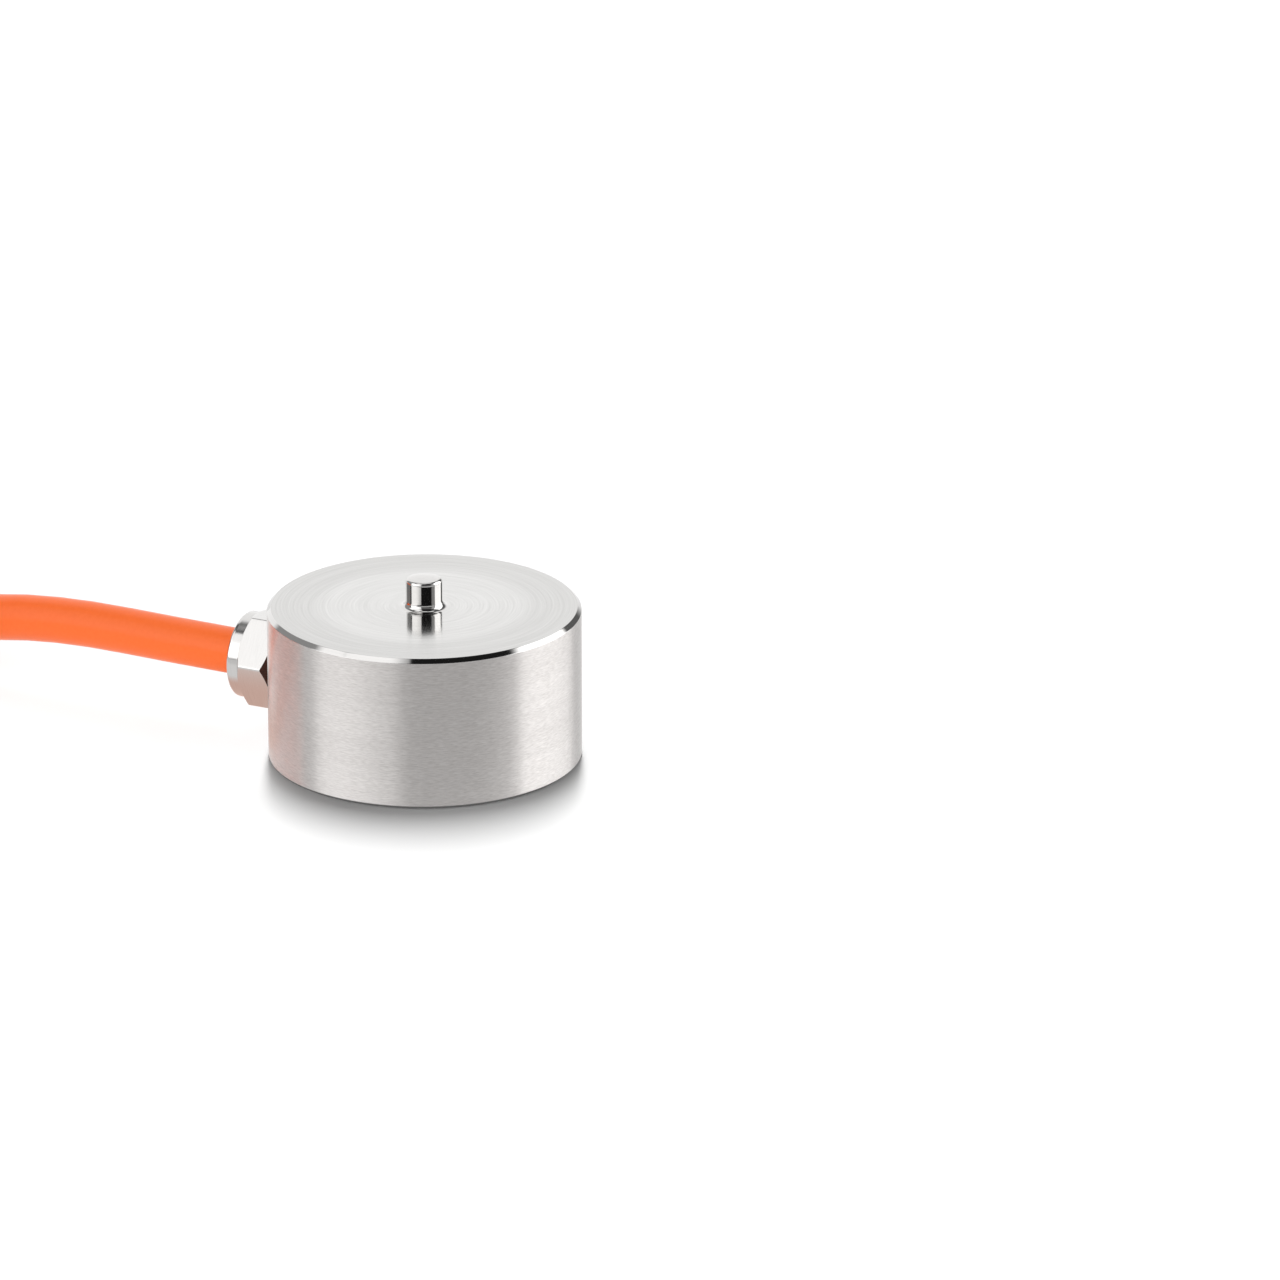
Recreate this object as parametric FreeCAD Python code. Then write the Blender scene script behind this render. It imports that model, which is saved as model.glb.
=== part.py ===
import FreeCAD, Part
import math
import os
from FreeCAD import Vector

# Miniature compression load cell: a turned steel button cell with a hex cable gland and a round cable.
# Millimetres. The load axis is +Z, the origin is on it in the plane of the base, the cable leaves along -X.

# Turned body
body_diameter = 20.0
body_height = 10.0
ring_wall = 4.0
top_chamfer = 0.26
base_chamfer = 0.2

# Load button, turned in one piece with the body
button_diameter = 2.32
button_height = 2.0
button_dome_radius = 4.0
button_edge_round = 0.25
button_root_fillet = 0.45

# Hollow underside: gauge chamber under the diaphragm, wiring chamber below it, seat for the cover
diaphragm_thickness = 1.2
boss_diameter = 4.0
boss_drop = 1.4
chamber_fillet = 0.25
board_ledge = 0.6
board_above_gland = 2.3
cover_ledge = 0.5
cover_thickness = 0.7
cover_recess = 0.1
cover_edge_chamfer = 0.12

# Tapped fixing holes in the middle of the rim of the base
fixing_count = 3
fixing_drill = 2.05
fixing_depth = 3.0
fixing_mouth = 2.6
drill_point_deg = 118.0

# Bonded strain gauges and their terminal board
gauge_count = 4
gauge_edge_gap = 0.25
gauge_width = 1.6
gauge_thickness = 0.06
gauge_first_deg = 45.0
board_thickness = 0.6
board_part_inset = 1.65
resistor_length = 1.0
resistor_width = 0.5
resistor_height = 0.35
resistor_cap_length = 0.22
resistor_cap_step = 0.03
resistor_pitch_deg = 24.0

# Flat gauge wires from the gauge tabs, through the board's hole, to pads on its underside
wire_width = 0.3
wire_thickness = 0.06
wire_pair_width = 0.7
wire_tab_inset = 0.15
wire_passage_gap = 0.15
wire_slack = 0.6
wire_pad_inset = 0.5
wire_joint_height = 0.25
wire_joint_diameter = 0.5

# Cable, its four cores and their joints on the board
cable_diameter = 3.0
core_diameter = 0.65
core_pair_width = 0.8
core_straight = 0.9
core_joint_height = 0.3
core_joint_diameter = 1.1
core_layout = {"white": (-1, 1), "green": (-1, -1), "black": (1, -1), "red": (1, 1)}
core_pad_deg = {"white": 250.0, "green": 285.0, "black": 75.0, "red": 110.0}

# Cable gland, screwed into the wall against a thrust washer and a rubber bush
gland_height = 4.7
gland_seat_depth = 0.15
gland_seat_margin = 0.135
gland_across_flats = 5.8
gland_hex_length = 2.2
gland_hex_turn_deg = 35.8
gland_hex_chamfer_deg = 36.0
gland_collar_diameter = 5.56
gland_collar_length = 0.85
gland_collar_round = 0.14
gland_shank_diameter = 4.5
gland_shank_length = 2.0
gland_bore_flare = 0.12
washer_thickness = 0.3
bush_length = 0.9

# Fits
cover_clearance = 0.05
board_clearance = 0.05
thread_clearance = 0.02
washer_clearance = 0.05
cable_clearance = 0.1

# Route of the cable that isn't coiled, from the stripped end of its jacket to the coil
bend_share = 0.45
sheath_reach = 0.6
sheath_end = body_diameter / 2 - ring_wall - sheath_reach
cable_route = [
    (-sheath_end, 0.0, gland_height),
    (-16.0, 0.0, gland_height),
    (-27.2, 0.0, 4.95),
    (-35.0, 0.1, 3.5),
    (-42.2, 0.7, 1.55),
    (-48.6, 3.0, 1.55),
]

# Coil of the spare cable, its end sleeve, flying leads and tie
coil_columns = 3
coil_layers = 5
coil_mid_diameter = 30.0
coil_lead_in = 11.0
coil_lead_in_sink = 0.1
tail_lift = 2.6
tail_start_deg = -30.0
tail_end_deg = 48.0
sleeve_wall = 0.25
sleeve_overlap_deg = 12.0
sleeve_beyond_deg = 22.0
lead_straight = 1.2
lead_fan_width = 3.6
lead_sweep_deg = 115.0
lead_landing_share = 0.4
lead_bends = 4
tip_diameter = 0.36
tip_length = 5.0
tie_at_deg = 20.0
tie_width = 4.0
tie_thickness = 0.5
tie_proud = 0.25
twist_length = 9.0
twist_width = 1.5
twist_thickness = 0.8
twist_turns = 1.0
twist_steps = 8

# Sizes worked out from the ones above
body_radius = body_diameter / 2
boss_radius = boss_diameter / 2
wiring_radius = body_radius - ring_wall
chamber_radius = wiring_radius - board_ledge
cover_seat_radius = wiring_radius + cover_ledge
fixing_circle_radius = (cover_seat_radius + body_radius) / 2
diaphragm_under = body_height - diaphragm_thickness
board_seat_height = gland_height + board_above_gland
board_under = board_seat_height - board_thickness
cover_seat_height = cover_recess + cover_thickness
gauge_inner = boss_radius + chamber_fillet + gauge_edge_gap
gauge_outer = chamber_radius - chamber_fillet - gauge_edge_gap
wire_tab_radius = gauge_inner + wire_tab_inset
wire_reach = math.hypot(wire_tab_radius + wire_thickness / 2, (wire_pair_width + wire_width) / 2)
board_hole_radius = wire_reach + wire_passage_gap
board_radius = wiring_radius - board_clearance
board_part_radius = board_radius - board_part_inset
wire_pad_radius = board_hole_radius + wire_pad_inset
gland_flat_radius = gland_across_flats / 2
gland_corner_radius = gland_flat_radius / math.cos(math.pi / 6)
gland_seat_radius = gland_corner_radius + gland_seat_margin
gland_seat = body_radius - gland_seat_depth
gland_hex_end = gland_seat + gland_hex_length
gland_end = gland_hex_end + gland_collar_length
gland_bore = cable_diameter + cable_clearance
gland_tip = gland_seat - gland_shank_length
bush_end = gland_tip - washer_thickness
bush_seat = bush_end - bush_length
coil_half_width = coil_columns * cable_diameter / 2
coil_inner = coil_mid_diameter / 2 - coil_half_width
coil_outer = coil_mid_diameter / 2 + coil_half_width
coil_height = coil_layers * cable_diameter
tail_radius = coil_inner + cable_diameter
tail_height = coil_height - cable_diameter / 2 + tail_lift
sleeve_start_deg = tail_end_deg - sleeve_overlap_deg
sleeve_end_deg = tail_end_deg + sleeve_beyond_deg


def section(start, steps):
    """Closed face in the X-Z plane: each step is (end, None) for a line or (end, centre) for an arc."""
    edges = []
    here = Vector(start[0], 0, start[1])
    for end, centre in steps:
        there = Vector(end[0], 0, end[1])
        if centre is None:
            edges.append(Part.LineSegment(here, there).toShape())
        else:
            hub = Vector(centre[0], 0, centre[1])
            middle = (here - hub) + (there - hub)
            middle.normalize()
            edges.append(Part.Arc(here, hub + middle * (here - hub).Length, there).toShape())
        here = there
    return Part.Face(Part.Wire(edges))


def turned(face):
    """Solid of revolution of a section about the Z axis."""
    return face.revolve(Vector(0, 0, 0), Vector(0, 0, 1), 360)


def ring(inner_radius, outer_radius, low, high):
    """Plain ring about the Z axis."""
    outer = Part.makeCylinder(outer_radius, high - low, Vector(0, 0, low))
    return outer.cut(Part.makeCylinder(inner_radius, high - low, Vector(0, 0, low)))


def polar(radius, angle_deg, height):
    """Point at a radius and an angle about the Z axis."""
    angle = math.radians(angle_deg)
    return Vector(radius * math.cos(angle), radius * math.sin(angle), height)


def spun(shape, angle_deg):
    """Copy of a shape turned about the Z axis."""
    copy = shape.copy()
    copy.rotate(Vector(0, 0, 0), Vector(0, 0, 1), angle_deg)
    return copy


def along_gland(shape):
    """Shape modelled along +Z from the load axis, laid along -X at the height of the gland."""
    laid = shape.copy()
    laid.rotate(Vector(0, 0, 0), Vector(0, 1, 0), -90)
    laid.translate(Vector(0, 0, gland_height))
    return laid


def rounded_path(points, report=None):
    """Wire of straight runs joined by tangent arcs, each as large as its two runs allow."""
    points = [Vector(*point) for point in points]
    edges = []
    radii = []
    here = points[0]
    for before, corner, after in zip(points, points[1:], points[2:]):
        way_in = (corner - before).normalize()
        way_out = (after - corner).normalize()
        half_turn = way_in.getAngle(way_out) / 2
        reach = bend_share * min((corner - before).Length, (after - corner).Length)
        radius = reach / math.tan(half_turn)
        inward = (way_out - way_in).normalize()
        start = corner - way_in * reach
        middle = corner + inward * (radius / math.cos(half_turn) - radius)
        end = corner + way_out * reach
        edges.append(Part.LineSegment(here, start).toShape())
        edges.append(Part.Arc(start, middle, end).toShape())
        radii.append(round(radius, 2))
        here = end
    edges.append(Part.LineSegment(here, points[-1]).toShape())
    if report:
        print(report, "bend radii", radii)
    return Part.Wire(edges)


def tube(points, diameter, report=None):
    """Round bar along a rounded path."""
    path = rounded_path(points, report)
    heading = Vector(*points[1]) - Vector(*points[0])
    mouth = Part.Wire(Part.makeCircle(diameter / 2, Vector(*points[0]), heading))
    bar = path.makePipeShell([mouth], True, False)
    if report:
        expected = math.pi * diameter ** 2 / 4 * path.Length
        print(report, "length", round(path.Length, 2))
        print(report, "volume", round(bar.Volume, 2), "expected", round(expected, 2))
    return bar


def make_cell_body():
    button_radius = button_diameter / 2
    dome_centre = body_height + button_height - button_dome_radius
    round_centre_radius = button_radius - button_edge_round
    round_reach = button_dome_radius - button_edge_round
    round_centre_height = dome_centre + math.sqrt(round_reach ** 2 - round_centre_radius ** 2)
    stretch = button_dome_radius / round_reach
    dome_edge = (round_centre_radius * stretch, dome_centre + (round_centre_height - dome_centre) * stretch)
    root_radius = button_radius + button_root_fillet
    fillet_height = diaphragm_under - chamber_fillet
    profile = section((cover_seat_radius, 0), [
        ((body_radius - base_chamfer, 0), None),
        ((body_radius, base_chamfer), None),
        ((body_radius, body_height - top_chamfer), None),
        ((body_radius - top_chamfer, body_height), None),
        ((root_radius, body_height), None),
        ((button_radius, body_height + button_root_fillet), (root_radius, body_height + button_root_fillet)),
        ((button_radius, round_centre_height), None),
        (dome_edge, (round_centre_radius, round_centre_height)),
        ((0, body_height + button_height), (0, dome_centre)),
        ((0, diaphragm_under - boss_drop), None),
        ((boss_radius, diaphragm_under - boss_drop), None),
        ((boss_radius, fillet_height), None),
        ((boss_radius + chamber_fillet, diaphragm_under), (boss_radius + chamber_fillet, fillet_height)),
        ((chamber_radius - chamber_fillet, diaphragm_under), None),
        ((chamber_radius, fillet_height), (chamber_radius - chamber_fillet, fillet_height)),
        ((chamber_radius, board_seat_height), None),
        ((wiring_radius, board_seat_height), None),
        ((wiring_radius, cover_seat_height), None),
        ((cover_seat_radius, cover_seat_height), None),
        ((cover_seat_radius, 0), None),
    ])
    body = turned(profile).cut(make_gland_hole())
    for index in range(fixing_count):
        body = body.cut(spun(make_fixing_hole(), index * 360 / fixing_count))
    return body


def make_gland_hole():
    """Spot face, threaded hole, bush seat and cable hole through the wall, as one cutter."""
    outside = body_radius + gland_seat_depth
    threaded_radius = gland_shank_diameter / 2 + thread_clearance
    spot_face = Part.makeCylinder(gland_seat_radius, outside - gland_seat, Vector(0, 0, gland_seat))
    threaded = Part.makeCylinder(threaded_radius, outside - bush_seat, Vector(0, 0, bush_seat))
    inside = wiring_radius - cable_diameter
    cable_hole = Part.makeCylinder(gland_bore / 2, outside - inside, Vector(0, 0, inside))
    return along_gland(spot_face.fuse([threaded, cable_hole]))


def make_fixing_hole():
    """Drilled and countersunk hole with a drill point, as a cutter on the +X side of the fixing circle."""
    drill_radius = fixing_drill / 2
    mouth_radius = fixing_mouth / 2
    point_height = drill_radius / math.tan(math.radians(drill_point_deg / 2))
    hole = turned(section((0, 0), [
        ((mouth_radius, 0), None),
        ((drill_radius, mouth_radius - drill_radius), None),
        ((drill_radius, fixing_depth), None),
        ((0, fixing_depth + point_height), None),
        ((0, 0), None),
    ]))
    hole.translate(Vector(fixing_circle_radius, 0, 0))
    return hole


def make_base_cover():
    rim = cover_seat_radius - cover_clearance
    return turned(section((0, cover_recess), [
        ((rim - cover_edge_chamfer, cover_recess), None),
        ((rim, cover_recess + cover_edge_chamfer), None),
        ((rim, cover_seat_height), None),
        ((0, cover_seat_height), None),
        ((0, cover_recess), None),
    ]))


def gauge_angle(index):
    return gauge_first_deg + index * 360 / gauge_count


def make_strain_gauge(index):
    corner = Vector(gauge_inner, -gauge_width / 2, diaphragm_under - gauge_thickness)
    film = Part.makeBox(gauge_outer - gauge_inner, gauge_width, gauge_thickness, corner)
    return spun(film, gauge_angle(index))


def make_terminal_board():
    return ring(board_hole_radius, board_radius, board_under, board_seat_height)


def make_resistor(position):
    """Chip resistor under the board, on the side away from the gland, with proud end caps."""
    half_length = resistor_length / 2
    cap_width = resistor_width + 2 * resistor_cap_step
    cap_height = resistor_height + resistor_cap_step
    low = board_under - resistor_height
    chip = Part.makeBox(resistor_width, resistor_length, resistor_height,
                        Vector(board_part_radius - resistor_width / 2, -half_length, low))
    caps = [Part.makeBox(cap_width, resistor_cap_length, cap_height,
                         Vector(board_part_radius - cap_width / 2, side, board_under - cap_height))
            for side in (-half_length, half_length - resistor_cap_length)]
    return spun(chip.fuse(caps).removeSplitter(), position * resistor_pitch_deg)


def wire_places():
    """Angle and sideways offset of each gauge wire: two to a gauge."""
    offsets = (-wire_pair_width / 2, wire_pair_width / 2)
    return [(gauge_angle(index), offset) for index in range(gauge_count) for offset in offsets]


def make_gauge_wires():
    """Flat wires that hang through the board's hole in a loop and rise to their pads."""
    tab_height = diaphragm_under - gauge_thickness
    loop_height = board_under - wire_slack
    joint_tip = board_under - wire_joint_height
    half_thickness = wire_thickness / 2
    half_width = wire_width / 2
    wires = []
    for angle, offset in wire_places():
        path = rounded_path([
            (wire_tab_radius, offset, tab_height),
            (wire_tab_radius, offset, loop_height),
            (wire_pad_radius, offset, loop_height),
            (wire_pad_radius, offset, joint_tip),
        ])
        mouth = Part.makePolygon([
            Vector(wire_tab_radius + out * half_thickness, offset + across * half_width, tab_height)
            for out, across in ((1, 1), (-1, 1), (-1, -1), (1, -1), (1, 1))
        ])
        wires.append(spun(path.makePipeShell([mouth], True, False), angle))
    return Part.makeCompound(wires)


def core_pad(colour):
    return polar(board_part_radius, core_pad_deg[colour], board_under - core_joint_height)


def make_core(colour):
    side, level = core_layout[colour]
    pad = core_pad(colour)
    across = side * core_pair_width / 2
    height = gland_height + level * core_pair_width / 2
    return tube([
        (-sheath_end, across, height),
        (-sheath_end + core_straight, across, height),
        (pad.x, pad.y, height),
        (pad.x, pad.y, pad.z),
    ], core_diameter)


def make_solder_joints():
    joints = []
    for colour in core_layout:
        joint = Part.makeCone(core_diameter / 2, core_joint_diameter / 2, core_joint_height, core_pad(colour))
        joints.append(joint)
    for angle, offset in wire_places():
        tip = Vector(wire_pad_radius, offset, board_under - wire_joint_height)
        joint = Part.makeCone(wire_width / 2, wire_joint_diameter / 2, wire_joint_height, tip)
        joints.append(spun(joint, angle))
    return Part.makeCompound(joints)


def make_cable_gland():
    bevel = (gland_corner_radius - gland_flat_radius) * math.tan(math.radians(gland_hex_chamfer_deg))
    corners = [polar(gland_corner_radius, gland_hex_turn_deg + 60 * index, gland_seat) for index in range(6)]
    prism = Part.Face(Part.makePolygon(corners + corners[:1])).extrude(Vector(0, 0, gland_hex_length))
    bevels = turned(section((0, gland_seat), [
        ((gland_flat_radius, gland_seat), None),
        ((gland_corner_radius, gland_seat + bevel), None),
        ((gland_corner_radius, gland_hex_end - bevel), None),
        ((gland_flat_radius, gland_hex_end), None),
        ((0, gland_hex_end), None),
        ((0, gland_seat), None),
    ]))
    collar_radius = gland_collar_diameter / 2
    collar_round_radius = collar_radius - gland_collar_round
    collar_round_height = gland_end - gland_collar_round
    collar_and_shank = turned(section((0, gland_tip), [
        ((gland_shank_diameter / 2, gland_tip), None),
        ((gland_shank_diameter / 2, gland_hex_end - gland_hex_length / 2), None),
        ((collar_radius, gland_hex_end - gland_hex_length / 2), None),
        ((collar_radius, collar_round_height), None),
        ((collar_round_radius, gland_end), (collar_round_radius, collar_round_height)),
        ((0, gland_end), None),
        ((0, gland_tip), None),
    ]))
    bore_radius = gland_bore / 2
    bore = Part.makeCylinder(bore_radius, gland_end - gland_tip, Vector(0, 0, gland_tip))
    flare = Part.makeCone(bore_radius, bore_radius + gland_bore_flare, gland_bore_flare,
                          Vector(0, 0, gland_end - gland_bore_flare))
    return along_gland(prism.common(bevels).fuse(collar_and_shank).cut(bore.fuse(flare)).removeSplitter())


def make_thrust_washer():
    outer = gland_shank_diameter / 2 - washer_clearance
    return along_gland(ring(gland_bore / 2, outer, bush_end, gland_tip))


def make_gland_bush():
    outer = gland_shank_diameter / 2 + thread_clearance
    return along_gland(ring(cable_diameter / 2, outer, bush_seat, bush_end))


def coil_heading():
    """Direction in which the route reaches the coil."""
    return (Vector(*cable_route[-1]) - Vector(*cable_route[-2])).normalize()


def coil_start_deg():
    """Angle on the coil at which the route joins its outermost turn."""
    heading = coil_heading()
    return math.degrees(math.atan2(-heading.x, heading.y))


def on_coil(shape, height=0.0):
    """Shape modelled about the coil's axis, from the angle where the cable joins, set where the coil lies."""
    joins = Vector(*cable_route[-1]) + coil_heading() * coil_lead_in
    centre = joins - polar(coil_outer - cable_diameter / 2 - coil_lead_in_sink, coil_start_deg(), 0)
    placed = spun(shape, coil_start_deg())
    placed.translate(Vector(centre.x, centre.y, height))
    return placed


def bent_bar(radius, start_deg, end_deg):
    """Round bar of a radius bent along the tail's circle on top of the coil."""
    bar = Part.makeTorus(tail_radius, radius, Vector(0, 0, 0), Vector(0, 0, 1), 0, 360, end_deg - start_deg)
    return on_coil(spun(bar, start_deg), tail_height)


def make_signal_cable():
    return tube(cable_route, cable_diameter, "signal cable")


def make_end_sleeve():
    sleeve = bent_bar(cable_diameter / 2 + sleeve_wall, sleeve_start_deg, sleeve_end_deg)
    return sleeve.cut(bent_bar(cable_diameter / 2, tail_start_deg, tail_end_deg))


def make_cable_coil():
    turns = on_coil(ring(coil_inner, coil_outer, 0, coil_height))
    lead_in = Part.makeCylinder(cable_diameter / 2, coil_lead_in, Vector(*cable_route[-1]), coil_heading())
    tail = bent_bar(cable_diameter / 2, tail_start_deg, tail_end_deg)
    return turns.fuse([lead_in, tail]).cut(make_end_sleeve()).cut(make_tie_loop()).removeSplitter()


def tie_outline(proud, bottom):
    """Outline drawn round the coil's turns and over the tail on them, proud of both, from a bottom height."""
    tail_half = cable_diameter / 2 + proud
    inner = coil_inner - proud
    outer = coil_outer + proud
    top = coil_height + proud
    shoulders = []
    for corner_radius in (inner, outer):
        across = corner_radius - tail_radius
        below = top - tail_height
        distance = math.hypot(across, below)
        lean = math.atan2(below, across)
        swing = math.acos(tail_half / distance)
        contact = lean + swing if across > 0 else lean - swing
        shoulders.append((tail_radius + tail_half * math.cos(contact),
                          tail_height + tail_half * math.sin(contact)))
    return section((inner, bottom), [
        ((outer, bottom), None),
        ((outer, top), None),
        (shoulders[1], None),
        (shoulders[0], (tail_radius, tail_height)),
        ((inner, top), None),
        ((inner, bottom), None),
    ])


def make_tie_loop():
    hollow = tie_outline(tie_proud - tie_thickness, tie_thickness)
    band = tie_outline(tie_proud, 0).cut(hollow).extrude(Vector(0, tie_width, 0))
    band.translate(Vector(0, -tie_width / 2, 0))
    return on_coil(spun(band, tie_at_deg))


def make_coil_tie():
    """Plastic-covered wire tie: the loop, and its two ends twisted together and laid along the top turns."""
    half_width = twist_width / 2
    half_thickness = twist_thickness / 2
    sections = []
    for step in range(twist_steps + 1):
        angle = 2 * math.pi * twist_turns * step / twist_steps
        along = step * twist_length / twist_steps
        corners = []
        for across, out in ((1, 1), (-1, 1), (-1, -1), (1, -1), (1, 1)):
            flat = Vector(across * half_width, 0, out * half_thickness)
            turned_flat = FreeCAD.Rotation(Vector(0, 1, 0), math.degrees(angle)).multVec(flat)
            corners.append(turned_flat + Vector(0, along, 0))
        sections.append(Part.makePolygon(corners))
    twist = Part.makeLoft(sections, True, True)
    twist_radius = coil_outer - cable_diameter
    twist.translate(Vector(twist_radius, tie_width / 2 - tie_thickness, coil_height + half_width))
    return make_tie_loop().fuse(on_coil(spun(twist, tie_at_deg)))


def lead_points(colour):
    """Bends of one flying lead, from the sleeve's end down onto the turns and along them."""
    order = list(core_layout).index(colour)
    side, level = core_layout[colour]
    start_radius = tail_radius + side * core_pair_width / 2
    start_height = tail_height + level * core_pair_width / 2
    end_radius = tail_radius + (order / (len(core_layout) - 1) - 0.5) * lead_fan_width
    end_height = coil_height + core_diameter / 2
    start = polar(start_radius, sleeve_end_deg, start_height)
    points = [start, start + polar(lead_straight, sleeve_end_deg + 90, 0)]
    for bend in range(1, lead_bends + 1):
        share = bend / lead_bends
        landed = min(share / lead_landing_share, 1.0)
        points.append(polar(start_radius + (end_radius - start_radius) * landed,
                            sleeve_end_deg + share * lead_sweep_deg,
                            start_height + (end_height - start_height) * landed))
    return points


def make_lead(colour):
    return on_coil(tube(lead_points(colour), core_diameter))


def make_lead_tips():
    tips = []
    for colour in core_layout:
        before, end = lead_points(colour)[-2:]
        tips.append(on_coil(Part.makeCylinder(tip_diameter / 2, tip_length, end, end - before)))
    return Part.makeCompound(tips)


def all_parts():
    parts = {
        "cell_body": make_cell_body(),
        "base_cover": make_base_cover(),
        "terminal_board": make_terminal_board(),
        "zero_trim_resistor": make_resistor(-1),
        "span_trim_resistor": make_resistor(0),
        "thermal_trim_resistor": make_resistor(1),
        "gauge_wires": make_gauge_wires(),
        "solder_joints": make_solder_joints(),
        "cable_gland": make_cable_gland(),
        "thrust_washer": make_thrust_washer(),
        "gland_bush": make_gland_bush(),
        "signal_cable": make_signal_cable(),
        "cable_coil": make_cable_coil(),
        "coil_tie": make_coil_tie(),
        "end_sleeve": make_end_sleeve(),
        "lead_tips": make_lead_tips(),
    }
    for index in range(gauge_count):
        parts["strain_gauge_" + str(index + 1)] = make_strain_gauge(index)
    for colour in core_layout:
        parts["core_" + colour] = make_core(colour)
        parts["lead_" + colour] = make_lead(colour)
    return parts


os.makedirs("parts", exist_ok=True)
for name, shape in all_parts().items():
    shape.exportStep("parts/" + name + ".step")
    print(name, "solids", len(shape.Solids), "valid", shape.isValid(), "volume", round(shape.Volume, 3))
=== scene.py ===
import math

import bmesh
import bpy
import numpy as np
from mathutils import Matrix, Vector


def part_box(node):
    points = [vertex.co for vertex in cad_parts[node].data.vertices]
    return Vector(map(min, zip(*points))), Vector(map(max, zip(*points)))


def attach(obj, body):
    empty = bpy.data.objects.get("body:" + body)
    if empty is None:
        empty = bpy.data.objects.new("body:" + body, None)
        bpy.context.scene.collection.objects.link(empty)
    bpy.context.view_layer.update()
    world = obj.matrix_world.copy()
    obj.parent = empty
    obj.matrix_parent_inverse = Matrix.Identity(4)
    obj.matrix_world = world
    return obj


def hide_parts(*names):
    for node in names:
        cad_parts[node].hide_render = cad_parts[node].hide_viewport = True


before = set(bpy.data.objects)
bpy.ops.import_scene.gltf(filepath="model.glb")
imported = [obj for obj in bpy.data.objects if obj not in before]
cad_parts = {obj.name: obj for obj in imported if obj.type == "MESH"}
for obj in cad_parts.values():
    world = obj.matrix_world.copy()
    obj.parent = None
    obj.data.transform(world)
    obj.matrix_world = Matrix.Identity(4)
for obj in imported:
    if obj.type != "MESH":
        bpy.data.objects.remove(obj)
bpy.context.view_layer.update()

# Cell body: ring wall, diaphragm and load button, turned in one piece from stainless bar.
# Its underside is bored out in steps, its rim is drilled and tapped, its side is spot-faced and tapped for
# the gland. Wall and top keep fine turning lines; the button and the edge breaks are polished.
MM = 0.001
body_top = 10.0
body_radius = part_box("cell_body")[1].x / MM
button_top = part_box("cell_body")[1].z / MM
top_chamfer = 0.26
base_chamfer = 0.2
edge_ease = 0.025
button_radius = 1.16
button_root_fillet = 0.45
button_edge_round = 0.25
button_dome_radius = 4.0
diaphragm_under = 8.8
boss_radius = 2.0
boss_under = 7.4
chamber_radius = 5.4
chamber_fillet = 0.25
board_seat = 7.0
wiring_radius = 6.0
cover_seat_radius = 6.5
cover_seat = 0.8
gland_height = 4.7
gland_seat = 9.85
gland_seat_radius = 3.484
gland_thread_hole_radius = 2.27
bush_seat = 6.65
cable_hole_radius = 1.55
fixing_circle_radius = 8.25
fixing_count = 3
fixing_drill_radius = 1.025
fixing_thread_depth = 0.2
fixing_thread_pitch = 0.45
fixing_rows_a_pitch = 8
fixing_depth = 3.0
fixing_mouth_radius = 1.3
fixing_point_share = 0.6
fixing_first_deg = 0.0
cutter_reach_in = 3.0
cutter_reach_out = 1.0
gland_hole_steps = 128
# Radii over which the top face's tone turns lighter towards the load axis.
lighter_inside_starts = 6.2
lighter_inside_ends = 7.4
line_share = 0.75
line_contrast = (0.32, 0.68)
line_gloss = 0.1
body_steps = 384
tiny = 1e-4


def arc(centre, radius, start_deg, end_deg, steps):
    """Points along an arc in the plane of an outline, both ends included."""
    angles = np.radians(np.linspace(start_deg, end_deg, steps + 1))
    return [(centre[0] + radius * math.cos(a), centre[1] + radius * math.sin(a)) for a in angles]


def run(start, end, steps):
    """Points along a straight run of an outline, both ends included."""
    return [(start[0] + (end[0] - start[0]) * s, start[1] + (end[1] - start[1]) * s)
            for s in np.linspace(0, 1, steps + 1)]


def rounded(points, radii, steps=4):
    """Outline with its inner corners rounded, and a point beside each round so that flats shade flat."""
    made = [points[0]]
    for before, corner, after, radius in zip(points, points[1:], points[2:], radii):
        way_in = (Vector(corner) - Vector(before)).normalized()
        way_out = (Vector(after) - Vector(corner)).normalized()
        half_turn = way_in.angle(way_out) / 2
        if half_turn < tiny:
            made.append(corner)
            continue
        reach = radius * math.tan(half_turn)
        centre = Vector(corner) + (way_out - way_in).normalized() * radius / math.cos(half_turn)
        start = (Vector(corner) - way_in * reach - centre).normalized()
        end = (Vector(corner) + way_out * reach - centre).normalized()
        made.append(tuple(Vector(corner) - way_in * (reach + radius)))
        for step in range(steps + 1):
            made.append(tuple(centre + start.slerp(end, step / steps) * radius))
        made.append(tuple(Vector(corner) + way_out * (reach + radius)))
    return made + [points[-1]]


def link(name, data):
    """Object at the origin with the given data, in the scene."""
    made = bpy.data.objects.new(name, data)
    bpy.context.scene.collection.objects.link(made)
    return made


def skin(name, rings, materials=(), finish=None, closed=False, capped=False):
    """Closed mesh over rings of points in millimetres, each joined to the next. One point is a pole."""
    points = []
    index = []
    for ring in rings:
        index.append(list(range(len(points), len(points) + len(ring))))
        points += ring
    bands = list(zip(index, index[1:] + index[:1] if closed else index[1:]))
    faces = []
    finishes = []
    for band, (low, high) in enumerate(bands):
        steps = max(len(low), len(high))
        for step in range(steps if steps > 1 else 0):
            after = step + 1
            corners = [low[step % len(low)], low[after % len(low)],
                       high[after % len(high)], high[step % len(high)]]
            faces.append(list(dict.fromkeys(corners)))
            finishes.append(finish[band] if finish else 0)
    if capped:
        faces += [index[0], index[-1]]
        finishes += [0, 0]
    mesh = bpy.data.meshes.new(name)
    mesh.from_pydata([Vector(point) * MM for point in points], [], faces)
    mesh.polygons.foreach_set("material_index", finishes)
    work = bmesh.new()
    work.from_mesh(mesh)
    bmesh.ops.recalc_face_normals(work, faces=work.faces)
    work.to_mesh(mesh)
    work.free()
    for material in materials:
        mesh.materials.append(material)
    return link(name, mesh)


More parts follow.
